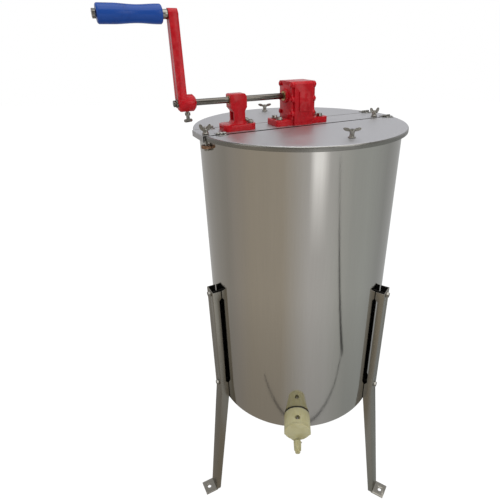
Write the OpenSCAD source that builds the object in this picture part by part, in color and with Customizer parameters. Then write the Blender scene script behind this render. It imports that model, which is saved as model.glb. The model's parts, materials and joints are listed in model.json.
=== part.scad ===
// Manual tangential honey extractor: a steel drum on three channel legs, a
// bridge across the rim that carries a bevel gearbox and a bearing pedestal,
// a hand crank, a basket for combs inside, and a plastic gate at the foot.
// Millimetres. +Z is up, the gate faces -Y, and the origin lies on the ground
// under the middle of the drum.

/* [Drum] */
// Outer diameter of the drum
drum_d = 370; // [330:1:460]
// Height of the drum wall
drum_h = 592; // [560:1:760]
// Thickness of the drum wall
drum_wall = 1; // [0.8:0.1:2]
// Height of the drum's bottom edge over the ground
drum_lift = 303; // [240:1:420]
// Diameter of the rolled bead at the rim
rim_bead_d = 4.4; // [3:0.1:5]
// Height of the floor over the drum's bottom edge
floor_inset = 8; // [5:1:9]
// Rise of the floor from its edge to its middle
floor_rise = 12; // [4:1:20]

/* [Lids and bridge] */
// Thickness of the lid sheet
lid_t = 1.6; // [1:0.1:2.4]
// Radius that the lid reaches past the drum wall
lid_overhang = 10; // [8:0.5:14]
// Depth of the skirt round the lid
skirt_h = 8; // [6:0.5:14]
// Width of the bridge
bridge_w = 60; // [58:1:80]
// Gap between the bridge and the edge of each half of the lid
seam_gap = 2.6; // [0.5:0.1:4]
// Thickness of the bridge's sheet
bridge_t = 2; // [1.5:0.1:3]
// Depth of the bridge's folded flanges
bridge_flange = 14; // [10:1:20]
// Turn of the bridge from the X axis, in degrees
bridge_turn = 28; // [0:1:60]
// Length of one hinge leaf
hinge_len = 16; // [14:1:24]
// Diameter of a hinge pin
hinge_pin_d = 2.4; // [2:0.1:3]

/* [Legs] */
// Width of a leg's channel
leg_w = 32; // [24:0.5:40]
// Depth of a leg's channel beside the drum
leg_depth = 17.5; // [16:0.5:28]
// Depth of a leg's channel at the ground
leg_flange = 11; // [8:0.5:16]
// Thickness of a leg's sheet
leg_t = 1.6; // [1.2:0.1:2.5]
// Height of a leg's top
leg_top = 592; // [592:1:700]
// How far the leg spreads outwards from its bend to the ground
leg_splay = 37.5; // [10:0.5:60]
// Length of the foot tab
foot_len = 27; // [24:1:50]
// Width of the foot tab
foot_w = 35; // [32:1:44]
// Diameter of the anchor hole in a foot
anchor_d = 9; // [6:0.5:11]
// Diameter of the leg bolts
leg_bolt_d = 6; // [5:0.5:8]

/* [Gearbox and crank] */
// Height of the crank shaft over the lid
crank_axis_h = 48.5; // [46:0.5:60]
// Diameter of the crank shaft
crank_shaft_d = 10; // [8:0.5:12]
// Distance from the crank shaft to the grip's spindle
crank_radius = 123; // [90:1:160]
// Distance of the crank arm's middle from the drum's axis
crank_arm_s = 217; // [212:1:280]
// Length of the grip
grip_len = 89; // [80:1:120]
// Largest diameter of the grip
grip_d = 26; // [22:0.5:34]
// Diameter of the grip's spindle
spindle_d = 8; // [6:0.5:9]
// Distance of the pedestal from the drum's axis
pedestal_s = 122.5; // [110:0.5:140]
// Module of the bevel gears
gear_module = 1.25; // [1.1:0.05:1.3]

/* [Rotor] */
// Diameter of the rotor shaft
rotor_d = 12; // [10:0.5:14]
// Width of the comb basket
basket_w = 256; // [220:1:270]
// Depth of the comb basket across both pockets
basket_depth = 184; // [160:1:196]
// Height of the comb basket
basket_h = 496; // [400:1:500]
// Thickness of one pocket, which takes one frame of comb
pocket_t = 40; // [30:1:44]

/* [Gate] */
// Height of the gate's middle over the drum's bottom edge
gate_rise = 34; // [32:1:60]
// Diameter of the gate's barrel
gate_d = 53; // [50:1:60]
// Length of the gate's barrel outside the drum
gate_len = 36; // [30:1:50]
// Diameter of the gate's bore
gate_bore_d = 32; // [24:1:32]

/* [Fits] */
// Radial clearance of a shaft that runs in a bore
run_gap = 0.06; // [0.02:0.01:0.1]
// Radial clearance of a nut on its thread
thread_gap = 0.1; // [0.05:0.01:0.1]
// Clearance between pieces that move past each other
move_gap = 0.5; // [0.3:0.1:1]

/* [Hidden] */
$fn = 96;
overlap = 0.01; // how far two solids of one piece run into each other

// Heights
drum_r = drum_d / 2;
inner_r = drum_r - drum_wall;
rim_z = drum_lift + drum_h;
lid_gap = 0.4;
lid_z = rim_z + lid_gap + lid_t;
floor_z = drum_lift + floor_inset;
floor_t = 1;
floor_land_r = 34;
floor_top = floor_z + floor_rise + floor_t;

// Lids and bridge
lid_r = drum_r + lid_overhang;
skirt_t = 1.2;
bridge_half = lid_r + 1;
bridge_end_flange = 10;
seam = bridge_w / 2 + seam_gap;
flange_half = sqrt(pow(inner_r - rim_bead_d, 2) - pow(bridge_w / 2, 2)) - 3;
leaf_t = 1;
leaf_d = 12;
leaf_gap = 0.6;
knuckle_r = hinge_pin_d / 2 + 0.9;
hinge_z = knuckle_r;
hinge_y = seam - 0.2;
right_hinge_s = drum_r - 7;
knob_s = 4;
knob_r = drum_r - 29;
knob_stud_d = 6;

// Clamps that hold the bridge down
clamp_y = -21;
clamp_bolt_d = 5;
clamp_flats = 8;
clamp_head_h = 4;
clamp_washer_t = 1.1;
bead_r = drum_r + (rim_bead_d - drum_wall) / 2;
left_clamp_r = bead_r + clamp_bolt_d / 2 + 0.3;
left_clamp_s = -sqrt(pow(left_clamp_r, 2) - pow(clamp_y, 2));
right_clamp_s = drum_r - 28;
lug_z = -21.5;
lug_h = 5;
lug_r = 9;
bracket_z = -28;
bracket_t = 3;

// Gearbox, in the bridge's own frame: x along the bridge, z from the lid
box_left = -24;
box_right = 13;
box_y = 25;
box_top = crank_axis_h + 24;
box_wall = 4;
box_floor = 6;
cover_t = 5;
base_h = 10;
base_left = -57;
base_right = 49;
base_y = 20;
base_round = 4;
gear_teeth = 24;
pinion_teeth = 12;
gear_r = gear_module * gear_teeth / 2;
pinion_r = gear_module * pinion_teeth / 2;
bevel_face = 6;
bush_r = crank_shaft_d / 2 + 3;
shaft_r = crank_shaft_d / 2;
journal_r = 4;
box_bolt_x = [-46, 37];
box_bolt_y = 10;
box_bolt_d = 6;
bolt_flats = 9.5;

// Crank
hub_r = 13;
hub_left = -crank_arm_s - 6;
hub_right = -crank_arm_s + 22;
shaft_left = hub_left - 7;
shaft_right = box_right + cover_t - 1;
arm_t = 14;
spindle_r = spindle_d / 2;
spindle_z = crank_axis_h + crank_radius;
arm_left = -crank_arm_s - arm_t / 2;
collar_len = 8;
grip_right = arm_left - collar_len - move_gap;
grip_left = grip_right - grip_len;

// Pedestal
ped_base_left = -30.5;
ped_base_right = 28.5;
ped_round = 12;
ped_top = 9.5;
ped_col_len = 20;
ped_flare = 4;
ped_head_len = 28;
ped_y = 11;
ped_bush_r = shaft_r + 1.8;
ped_bolt_x = ped_col_len / 2 + ped_flare + bolt_flats / sqrt(3) + 0.1;
left_hinge_s = -pedestal_s + ped_base_left - hinge_len / 2 - 4.5;

// Rotor
rotor_r = rotor_d / 2;
ball_r = 4;
rotor_foot = floor_top + 12 + move_gap;
rotor_step = lid_z + 16;
rotor_top = lid_z + crank_axis_h - gear_r + 6;
basket_z = drum_lift + 49;
basket_t = 3;
post_r = 3;
post_x = basket_w / 2 - 5;
post_y = basket_depth / 2 - 5;
pocket_y = post_y - 4 - pocket_t;

// Legs, in each leg's own frame: x outwards from the drum's axis
leg_turns = [-150, -30, 90];
leg_bolt_z = [drum_lift + 281, drum_lift + 42];
leg_bend = drum_lift + 21;
leg_face = drum_r + leg_depth;
leg_heel = leg_face + leg_splay;
leg_touch = drum_r + 0.3;
leg_slot = leg_face - 12;
leg_plate_t = 3;
anchor_x = leg_heel + 14;
bolt_head_h = 4;

// Gate, in the gate's own frame: x to the right, y up, z outwards
gate_z = drum_lift + gate_rise;
gate_r = gate_d / 2;
gate_bore_r = gate_bore_d / 2;
gate_seat = drum_r + 2;
gate_face = gate_seat + gate_len;
nipple_r = gate_bore_r + 4;
nipple_depth = 13;
gate_nut_half = min(nipple_r + 4, gate_rise - floor_inset - floor_t - 1);
gate_pin_y = (gate_r + gate_bore_r) / 2;
gate_pin_r = 2.5;
flap_t = 5.6;
flap_z = gate_face + 0.4;
flap_face = flap_z + flap_t;
nut_z = flap_face + move_gap;
washer_t = 1.5;

// --- Helpers -------------------------------------------------------------

module on_bridge() {
    rotate([0, 0, bridge_turn]) translate([0, 0, lid_z]) children();
}

module on_leg(turn) {
    rotate([0, 0, turn]) children();
}

module on_gate() {
    translate([0, 0, gate_z]) rotate([90, 0, 0]) children();
}

// A cylinder that lies along x, from x0 to x1
module bar_x(x0, x1, r) {
    translate([x0, 0, 0]) rotate([0, 90, 0]) cylinder(h = x1 - x0, r = r);
}

// A hexagonal bolt head or nut with its flats apart by `flats`
module hexagon(flats, h) {
    cylinder(h = h, r = flats / sqrt(3), $fn = 6);
}

module round_rect(w, d, r) {
    square([w - 2 * r, d], center = true);
    square([w, d - 2 * r], center = true);
    for (x = [-1, 1], y = [-1, 1])
        translate([x * (w / 2 - r), y * (d / 2 - r)]) circle(r);
}

// A plate from x0 to x1 that reaches half_y to both sides, with round corners
module foot_plate(x0, x1, half_y, r, h) {
    translate([(x0 + x1) / 2, 0, 0]) linear_extrude(h) round_rect(x1 - x0, 2 * half_y, r);
}

// A wing nut that stands on z = 0 round a bolt of radius bolt_r
module wing_nut(bolt_r, base_r, base_h, span, height, thick) {
    tip_r = height * 0.22;
    difference() {
        union() {
            cylinder(h = base_h, r1 = base_r, r2 = base_r * 0.78);
            for (side = [0, 1])
                mirror([side, 0, 0])
                    translate([0, thick / 2, 0])
                        rotate([90, 0, 0])
                            linear_extrude(thick) {
                                polygon([
                                    [0, 1], [base_r * 0.9, 1],
                                    [span / 2 - 0.2 * tip_r, height - 1.6 * tip_r],
                                    [span / 2 - 1.9 * tip_r, height - 0.6 * tip_r],
                                    [base_r * 0.5, base_h], [0, base_h]
                                ]);
                                translate([span / 2 - tip_r, height - tip_r]) circle(tip_r);
                            }
        }
        translate([0, 0, -1]) cylinder(h = height + 2, r = bolt_r);
    }
}

// Bevel teeth that run from their wide end at z = 0 towards an apex above it
module bevel_teeth(teeth, pitch_r, apex_h, cone_len, first) {
    add_angle = atan(0.88 * gear_module / cone_len);
    root_angle = atan(1.16 * gear_module / cone_len);
    cone = atan(pitch_r / apex_h);
    tip_r = apex_h * tan(cone + add_angle);
    root_r = apex_h * tan(cone - root_angle);
    step = 360 / teeth;
    rise = bevel_face * cos(cone);
    linear_extrude(height = rise, scale = 1 - rise / apex_h)
        union() {
            circle(root_r);
            for (i = [0 : teeth - 1])
                rotate(first + i * step)
                    polygon([
                        for (p = [[root_r - 0.4, -0.30], [pitch_r, -0.185], [tip_r, -0.085],
                                  [tip_r, 0.085], [pitch_r, 0.185], [root_r - 0.4, 0.30]])
                            p[0] * [cos(p[1] * step), sin(p[1] * step)]
                    ]);
        }
}

// --- Drum ----------------------------------------------------------------

module drum_shell() {
    color("gainsboro")
        difference() {
            union() {
                translate([0, 0, drum_lift])
                    difference() {
                        cylinder(h = drum_h - rim_bead_d / 2, r = drum_r);
                        translate([0, 0, -1]) cylinder(h = drum_h + 2, r = inner_r);
                    }
                translate([0, 0, rim_z - rim_bead_d / 2])
                    rotate_extrude()
                        translate([drum_r - drum_wall / 2, 0]) circle(rim_bead_d / 2);
            }
            on_gate() cylinder(h = drum_d, r = nipple_r + 0.3);
            for (turn = leg_turns, z = leg_bolt_z)
                on_leg(turn)
                    translate([0, 0, z]) bar_x(drum_r - 20, drum_r + 10, leg_bolt_d / 2);
        }
}

module drum_floor() {
    color("silver")
        rotate_extrude()
            polygon([
                [0, floor_z + floor_rise], [floor_land_r, floor_z + floor_rise],
                [inner_r - 12, floor_z], [inner_r - 1, floor_z],
                [inner_r - 1, drum_lift + 2], [inner_r, drum_lift + 2],
                [inner_r, floor_z + floor_t], [inner_r - 12, floor_z + floor_t],
                [floor_land_r, floor_top], [0, floor_top]
            ]);
}

module floor_bearing() {
    color("dimgray")
        translate([0, 0, floor_top])
            difference() {
                union() {
                    cylinder(h = 3, r = floor_land_r - 4);
                    cylinder(h = 22, r = rotor_r + 8);
                }
                translate([0, 0, 12 - 2 * ball_r]) cylinder(h = 20, r = ball_r + run_gap);
                translate([0, 0, 8]) cylinder(h = 20, r = rotor_r + run_gap);
            }
}

module bearing_ball() {
    color("lightgray")
        translate([0, 0, floor_top + 12 - ball_r]) sphere(ball_r);
}

// --- Legs ----------------------------------------------------------------

module leg_side() {
    polygon([
        [leg_face, leg_top], [leg_touch, leg_top], [leg_touch, leg_top - 16],
        [leg_slot, leg_top - 22], [leg_slot, leg_bend + 30], [leg_touch, leg_bend + 24],
        [leg_touch, leg_bend - 14], [leg_heel - leg_flange, 0],
        [leg_heel, 0], [leg_face, leg_bend]
    ]);
}

module leg_web() {
    polygon([
        [leg_face, leg_top], [leg_face - leg_t, leg_top], [leg_face - leg_t, leg_bend],
        [leg_heel - leg_t, 0], [leg_heel, 0], [leg_face, leg_bend]
    ]);
}

module upright(width) {
    translate([0, width / 2, 0]) rotate([90, 0, 0]) linear_extrude(width) children();
}

module leg(turn) {
    color("silver")
        on_leg(turn)
            difference() {
                union() {
                    upright(leg_w) leg_web();
                    for (side = [-1, 1])
                        translate([0, side * (leg_w - leg_t) / 2, 0]) upright(leg_t) leg_side();
                    translate([leg_heel - leg_flange, -leg_w / 2, 0])
                        cube([leg_flange, leg_w, leg_plate_t]);
                    translate([leg_heel - 3, -foot_w / 2, 0])
                        cube([foot_len + 3, foot_w, leg_plate_t]);
                }
                translate([anchor_x, 0, -1]) cylinder(h = 6, r = anchor_d / 2);
                for (z = leg_bolt_z)
                    translate([0, 0, z])
                        bar_x(leg_face - 10, leg_face + 10, leg_bolt_d / 2);
            }
}

module leg_left() { leg(leg_turns[0]); }
module leg_right() { leg(leg_turns[1]); }
module leg_rear() { leg(leg_turns[2]); }

module leg_bolts() {
    color("gray")
        for (turn = leg_turns, z = leg_bolt_z)
            on_leg(turn)
                translate([0, 0, z]) {
                    bar_x(inner_r - 8, leg_face + overlap, leg_bolt_d / 2);
                    translate([leg_face, 0, 0])
                        rotate([0, 90, 0]) cylinder(h = 1, r = leg_bolt_d);
                    translate([leg_face + 1, 0, 0])
                        rotate([0, 90, 0]) hexagon(leg_bolt_d * 1.6, bolt_head_h);
                }
}

module leg_nuts() {
    color("gray")
        for (turn = leg_turns, z = leg_bolt_z)
            on_leg(turn)
                translate([inner_r - 0.3, 0, z])
                    rotate([0, -90, 0])
                        difference() {
                            union() {
                                hexagon(leg_bolt_d * 1.6, 5);
                                translate([0, 0, 5]) cylinder(h = 4, r1 = 4.6, r2 = 2.5);
                            }
                            translate([0, 0, -1]) cylinder(h = 9, r = leg_bolt_d / 2);
                        }
}

// --- Bridge and its clamps -----------------------------------------------

module bridge() {
    color("lightgray")
        on_bridge()
            difference() {
                union() {
                    translate([-bridge_half, -bridge_w / 2, -bridge_t])
                        cube([2 * bridge_half, bridge_w, bridge_t]);
                    for (side = [-1, 1]) {
                        translate([-flange_half, side * (bridge_w - bridge_t) / 2 - bridge_t / 2,
                                   -bridge_flange])
                            cube([2 * flange_half, bridge_t, bridge_flange]);
                        translate([side * (bridge_half - bridge_t / 2) - bridge_t / 2,
                                   -bridge_w / 2, -bridge_end_flange])
                            cube([bridge_t, bridge_w, bridge_end_flange]);
                    }
                }
                translate([0, 0, -50]) cylinder(h = 100, r = rotor_r + 4);
                for (s = [left_clamp_s, right_clamp_s])
                    translate([s, clamp_y, -50]) cylinder(h = 100, r = clamp_bolt_d / 2 + 0.4);
                for (x = box_bolt_x, y = [-box_bolt_y, box_bolt_y])
                    translate([x, y, -50]) cylinder(h = 100, r = box_bolt_d / 2);
                for (x = [-1, 1], y = [-1, 1])
                    translate([x * ped_bolt_x - pedestal_s, y * box_bolt_y, -50])
                        cylinder(h = 100, r = box_bolt_d / 2);
            }
}

module clamp_lug() {
    color("silver")
        on_bridge()
            difference() {
                union() {
                    translate([left_clamp_s, clamp_y, lug_z]) cylinder(h = lug_h, r = lug_r);
                    translate([left_clamp_s, clamp_y - lug_r, lug_z])
                        cube([lug_r, 2 * lug_r, lug_h]);
                }
                translate([left_clamp_s, clamp_y, -60]) cylinder(h = 80, r = clamp_bolt_d / 2 + 0.8);
                translate([0, 0, -60]) cylinder(h = 80, r = drum_r);
            }
}

module clamp_bracket() {
    color("silver")
        on_bridge()
            difference() {
                translate([right_clamp_s - 10, clamp_y - 12, bracket_z])
                    cube([drum_r, 24, 20]);
                translate([right_clamp_s - 11, clamp_y - 13, bracket_z + bracket_t])
                    cube([inner_r - bracket_t - right_clamp_s + 11, 26, 20]);
                translate([0, 0, bracket_z - 2])
                    difference() {
                        cylinder(h = 30, r = drum_d);
                        translate([0, 0, -1]) cylinder(h = 40, r = inner_r);
                    }
                translate([right_clamp_s, clamp_y, -60])
                    cylinder(h = 80, r = clamp_bolt_d / 2);
            }
}

// A bolt whose head bears on z = foot from below, with its washer on the bridge
module clamp_bolt(s, foot, turn) {
    translate([s, clamp_y, 0]) {
        translate([0, 0, foot]) cylinder(h = -foot + 12, r = clamp_bolt_d / 2);
        translate([0, 0, foot - clamp_head_h])
            rotate([0, 0, turn]) hexagon(clamp_flats, clamp_head_h);
        difference() {
            cylinder(h = clamp_washer_t, r = clamp_bolt_d + 1);
            translate([0, 0, -1]) cylinder(h = 4, r = clamp_bolt_d / 2 + 0.2);
        }
    }
}

module clamp_bolts() {
    color("silver")
        on_bridge() {
            clamp_bolt(left_clamp_s, lug_z, 30 + atan(clamp_y / left_clamp_s));
            clamp_bolt(right_clamp_s, bracket_z, 0);
        }
}

module clamp_nut(s, turn) {
    color("lightgray")
        on_bridge()
            translate([s, clamp_y, clamp_washer_t + move_gap])
                rotate([0, 0, turn])
                    wing_nut(clamp_bolt_d / 2 + thread_gap, 5.5, 8, 22, 17, 2.4);
}

module clamp_nut_left() { clamp_nut(left_clamp_s, -24); }
module clamp_nut_right() { clamp_nut(right_clamp_s, 28); }

// --- Lids ----------------------------------------------------------------

// Half of the lid, on the side of the bridge that `side` names: -1 front, 1 rear
module lid_half(side) {
    color("whitesmoke")
        on_bridge()
            difference() {
                union() {
                    translate([0, 0, -lid_t]) cylinder(h = lid_t, r = lid_r);
                    difference() {
                        translate([0, 0, -skirt_h]) cylinder(h = skirt_h, r = lid_r);
                        translate([0, 0, -skirt_h - 1])
                            cylinder(h = skirt_h + 2, r = lid_r - skirt_t);
                    }
                }
                translate([-lid_r - 5, side > 0 ? -lid_r - 5 : -seam, -skirt_h - 5])
                    cube([2 * lid_r + 10, lid_r + 5 + seam, skirt_h + 10]);
                translate([knob_s, side * knob_r, -10]) cylinder(h = 20, r = knob_stud_d / 2);
            }
}

module lid_front() { lid_half(-1); }
module lid_rear() { lid_half(1); }

// One hinge leaf with knuckles at the given stretches along its pin
module hinge_leaf(inward, stretches) {
    toward = inward ? -1 : 1;
    difference() {
        union() {
            for (p = stretches)
                translate([p[0], 0, 0]) {
                    bar_x(0, p[1] - p[0], knuckle_r);
                    translate([0, inward ? -knuckle_r - 2 : 0, -hinge_z])
                        cube([p[1] - p[0], knuckle_r + 2, leaf_t]);
                }
            translate([-hinge_len / 2, inward ? -leaf_d : knuckle_r + leaf_gap, -hinge_z])
                cube([hinge_len, leaf_d - knuckle_r - leaf_gap, leaf_t]);
            for (x = [-1, 1])
                translate([x * hinge_len / 4, toward * (leaf_d - 3.5), -hinge_z + leaf_t])
                    cylinder(h = 0.8, r1 = 2, r2 = 1.4);
        }
        bar_x(-hinge_len, hinge_len,
              hinge_pin_d / 2 + (inward ? 0 : run_gap));
    }
}

module at_hinges(side) {
    for (s = [left_hinge_s, right_hinge_s])
        translate([s, side * hinge_y, hinge_z])
            mirror([0, side < 0 ? 1 : 0, 0]) children();
}

third = hinge_len / 3;
outer_knuckles = [[-hinge_len / 2, -third / 2 - 0.3], [third / 2 + 0.3, hinge_len / 2]];
middle_knuckle = [[-third / 2, third / 2]];

module bridge_hinge_leaves() {
    color("silver")
        on_bridge()
            for (side = [-1, 1]) at_hinges(side) hinge_leaf(true, outer_knuckles);
}

module hinge_pins() {
    color("gray")
        on_bridge()
            for (side = [-1, 1])
                at_hinges(side)
                    bar_x(-hinge_len / 2 - 0.8, hinge_len / 2 + 0.8, hinge_pin_d / 2);
}

module lid_leaves(side) {
    color("silver") on_bridge() at_hinges(side) hinge_leaf(false, middle_knuckle);
}

module lid_front_leaves() { lid_leaves(-1); }
module lid_rear_leaves() { lid_leaves(1); }

module lid_knob(side, turn) {
    color("lightgray")
        on_bridge()
            translate([knob_s, side * knob_r, 0])
                rotate([0, 0, turn]) wing_nut(knob_stud_d / 2, 6, 10, 28, 17, 2);
}

module lid_front_knob() { lid_knob(-1, -28); }
module lid_rear_knob() { lid_knob(1, -20); }

module lid_stud(side) {
    color("gray")
        on_bridge()
            translate([knob_s, side * knob_r, -lid_t]) {
                cylinder(h = lid_t + 9, r = knob_stud_d / 2);
                translate([0, 0, -3]) cylinder(h = 3, r = 6);
            }
}

module lid_front_stud() { lid_stud(-1); }
module lid_rear_stud() { lid_stud(1); }

// --- Gearbox -------------------------------------------------------------

lobe_heights = [20, (14.5 + box_top) / 2, box_top - 5.5];
cover_lobes = [for (side = [-1, 1], height = lobe_heights) [side, height]];

module cover_outline() {
    polygon([
        [-box_y + 3, base_h], [box_y - 3, base_h], [box_y - 3, box_top - 2],
        [box_y - 6, box_top], [-box_y + 6, box_top], [-box_y + 3, box_top - 2]
    ]);
    for (p = cover_lobes) translate([p[0] * (box_y - 5), p[1]]) circle(5.5);
}

// Stands a flat outline of (y, z) points up so that it is thick along x
module across(x0, x1) {
    translate([x0, 0, 0])
        rotate([90, 0, 90]) linear_extrude(x1 - x0) children();
}

module at_cover_screws() {
    for (p = cover_lobes)
        translate([0, p[0] * (box_y - 5), p[1]]) children();
}

module gearbox_housing() {
    color("firebrick")
        on_bridge()
            difference() {
                union() {
                    across(box_left, box_right)
                        polygon([
                            [-box_y, 0], [box_y, 0], [box_y, box_top - 4], [box_y - 4, box_top],
                            [-box_y + 4, box_top], [-box_y, box_top - 4]
                        ]);
                    foot_plate(base_left, base_right, base_y, base_round, base_h);
                    for (side = [-1, 1])
                        translate([box_left + 9, side > 0 ? box_y - overlap : -box_y - 2, 24])
                            cube([box_right - box_left - 16, 2 + overlap, box_top - 40]);
                }
                across(box_left - 1, box_right + 1)
                    polygon([
                        [-box_y + box_wall, box_floor + 8], [box_y - box_wall, box_floor + 8],
                        [box_y - box_wall, box_top - box_wall],
                        [-box_y + box_wall, box_top - box_wall]
                    ]);
                translate([0, 0, -1]) cylinder(h = 30, r = rotor_r + 4);
                for (x = box_bolt_x, y = [-box_bolt_y, box_bolt_y])
                    translate([x, y, -1]) cylinder(h = base_h + 2, r = box_bolt_d / 2);
                at_cover_screws() {
                    bar_x(box_left - 1, box_left + 8, 1.5);
                    bar_x(box_right - 8, box_right + 1, 1.5);
                }
            }
}

module cover(x0, x1, boss_x) {
    color("firebrick")
        on_bridge()
            difference() {
                union() {
                    across(x0, x1) cover_outline();
                    translate([0, 0, crank_axis_h])
                        bar_x(min(x0, boss_x), max(x1, boss_x), bush_r + 4);
                }
                translate([0, 0, crank_axis_h]) bar_x(x0 - 30, x1 + 30, bush_r);
                at_cover_screws() bar_x(x0 - 1, x1 + 1, 2);
            }
}

module gearbox_cover() { cover(box_left - cover_t, box_left, box_left - cover_t - 4); }
module gearbox_end_cover() { cover(box_right, box_right + cover_t, box_right + cover_t + 3); }

module cover_screws() {
    color("gray")
        on_bridge()
            at_cover_screws() {
                bar_x(box_left - cover_t - overlap, box_left + 7, 1.5);
                bar_x(box_left - cover_t - 2, box_left - cover_t, 3.4);
                bar_x(box_right - 7, box_right + cover_t + overlap, 1.5);
                bar_x(box_right + cover_t, box_right + cover_t + 2, 3.4);
            }
}

module bush(x0, x1, r) {
    difference() {
        bar_x(x0, x1, r);
        bar_x(x0 - 1, x1 + 1, shaft_r + run_gap);
    }
}

module shaft_bushes() {
    color("goldenrod")
        on_bridge()
            translate([0, 0, crank_axis_h]) {
                bush(box_left - cover_t - 5, box_left, bush_r);
                bush(box_right, box_right + cover_t + 2.5, bush_r);
                translate([-pedestal_s, 0, 0])
                    bush(-ped_head_len / 2 - 1.5, ped_head_len / 2 + 0.5, ped_bush_r);
            }
}

// Bolts that hold the gearbox and the pedestal down. The two at the crank's end
// of the pedestal go in from below and stop inside its base.
module bridge_bolts() {
    color("lightgray")
        on_bridge() {
            for (x = box_bolt_x, y = [-box_bolt_y, box_bolt_y])
                translate([x, y, 0]) {
                    translate([0, 0, -9]) cylinder(h = 9 + base_h + 1, r = box_bolt_d / 2);
                    translate([0, 0, base_h]) cylinder(h = 1.2, r = 6);
                    translate([0, 0, base_h + 1.2]) hexagon(bolt_flats, 4);
                }
            translate([-pedestal_s, 0, 0])
                for (y = [-box_bolt_y, box_bolt_y]) {
                    translate([ped_bolt_x, y, -bridge_t - 4]) {
                        hexagon(bolt_flats, 4);
                        cylinder(h = 4 + bridge_t + base_h + 6, r = box_bolt_d / 2);
                    }
                    translate([-ped_bolt_x, y, -bridge_t - 4]) {
                        hexagon(bolt_flats, 4);
                        cylinder(h = 4 + bridge_t + base_h - 2, r = box_bolt_d / 2);
                    }
                }
        }
}

module bridge_nuts() {
    color("lightgray")
        on_bridge() {
            for (x = box_bolt_x, y = [-box_bolt_y, box_bolt_y])
                translate([x, y, -bridge_t - 5]) bolt_nut();
            for (y = [-box_bolt_y, box_bolt_y])
                translate([ped_bolt_x - pedestal_s, y, base_h]) bolt_nut();
        }
}

module bolt_nut() {
    difference() {
        hexagon(bolt_flats, 5);
        translate([0, 0, -1]) cylinder(h = 7, r = box_bolt_d / 2);
    }
}

module rotor_bush() {
    color("goldenrod")
        translate([0, 0, lid_z - 14])
            difference() {
                union() {
                    cylinder(h = 14 + box_floor + 6, r = rotor_r + 4);
                    cylinder(h = 14 - bridge_t, r = rotor_r + 8);
                }
                translate([0, 0, -1]) cylinder(h = 40, r = rotor_r + run_gap);
            }
}

// --- Pedestal ------------------------------------------------------------

module pedestal() {
    color("firebrick")
        on_bridge()
            translate([-pedestal_s, 0, 0])
                difference() {
                    union() {
                        foot_plate(ped_base_left, ped_base_right, base_y, ped_round, base_h);
                        translate([0, ped_y, 0])
                            rotate([90, 0, 0])
                                linear_extrude(2 * ped_y)
                                    polygon([
                                        [-ped_col_len / 2 - ped_flare, base_h - 1],
                                        [-ped_col_len / 2, base_h + 5],
                                        [-ped_col_len / 2, crank_axis_h - 18],
                                        [-ped_head_len / 2 - 1, crank_axis_h - 12],
                                        [-ped_head_len / 2 - 1, crank_axis_h + ped_top - 2],
                                        [-ped_head_len / 2 + 1, crank_axis_h + ped_top],
                                        [ped_head_len / 2 - 3, crank_axis_h + ped_top],
                                        [ped_head_len / 2, crank_axis_h + ped_top - 4],
                                        [ped_head_len / 2, crank_axis_h - 12],
                                        [ped_col_len / 2, crank_axis_h - 18],
                                        [ped_col_len / 2, base_h + 5],
                                        [ped_col_len / 2 + ped_flare, base_h - 1]
                                    ]);
                    }
                    for (side = [-1, 1])
                        translate([side > 0 ? 4 : -30, -ped_y + 4, base_h + 5])
                            cube([26, 2 * ped_y - 8, crank_axis_h - base_h - 24]);
                    translate([0, 0, crank_axis_h]) bar_x(-40, 40, ped_bush_r);
                    for (y = [-box_bolt_y, box_bolt_y]) {
                        translate([ped_bolt_x, y, -1])
                            cylinder(h = base_h + 2, r = box_bolt_d / 2);
                        translate([-ped_bolt_x, y, -1])
                            cylinder(h = base_h - 1, r = box_bolt_d / 2);
                    }
                }
}

// --- Crank ---------------------------------------------------------------

module on_crank() {
    on_bridge() translate([0, 0, crank_axis_h]) children();
}

pin_x = -pinion_r - 5.5;
ring_x = hub_left - 3;

module crank_shaft() {
    color("silver")
        on_crank()
            difference() {
                bar_x(shaft_left, shaft_right, shaft_r);
                translate([pin_x, 0, -20]) cylinder(h = 40, r = 1.5);
                difference() {
                    bar_x(ring_x, ring_x + 1.2, shaft_r + 1);
                    bar_x(ring_x - 1, ring_x + 2.2, shaft_r - 0.8);
                }
            }
}

module bevel_gear() {
    color("dimgray")
        on_crank()
            difference() {
                union() {
                    translate([-pinion_r, 0, 0])
                        rotate([0, 90, 0])
                            bevel_teeth(gear_teeth, gear_r, pinion_r, norm([gear_r, pinion_r]),
                                        180 / gear_teeth);
                    bar_x(-pinion_r - 9, -pinion_r + overlap, gear_r - 4);
                }
                bar_x(-60, 60, shaft_r);
                translate([pin_x, 0, -30]) cylinder(h = 60, r = 1.5);
            }
}

module gear_pin() {
    color("gray")
        on_crank() translate([pin_x, 0, -gear_r + 4]) cylinder(h = 2 * gear_r - 8, r = 1.5);
}

module shaft_ring() {
    color("dimgray")
        on_crank()
            difference() {
                bar_x(ring_x, ring_x + 1.2, shaft_r + 1.6);
                bar_x(ring_x - 1, ring_x + 2.2, shaft_r - 0.8);
            }
}

module crank_arm() {
    color("firebrick")
        on_crank()
            difference() {
                union() {
                    rotate([0, 90, 0])
                        rotate_extrude()
                            polygon([
                                [0, hub_left], [hub_r - 3, hub_left], [hub_r, hub_left + 3],
                                [hub_r, hub_right - 4], [hub_r - 4, hub_right], [0, hub_right]
                            ]);
                    across(arm_left, arm_left + arm_t) {
                        polygon([
                            [-hub_r + 2, 0], [hub_r - 2, 0],
                            [8, crank_radius], [-8, crank_radius]
                        ]);
                        translate([0, crank_radius]) circle(8);
                    }
                }
                bar_x(hub_left - 5, hub_right + 5, shaft_r);
                translate([0, 0, crank_radius]) bar_x(arm_left - 5, arm_left + 30, spindle_r);
                translate([-crank_arm_s + 8, 0, -hub_r - 5])
                    cylinder(h = hub_r + 5, r = 2.5 + thread_gap);
            }
}

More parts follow.
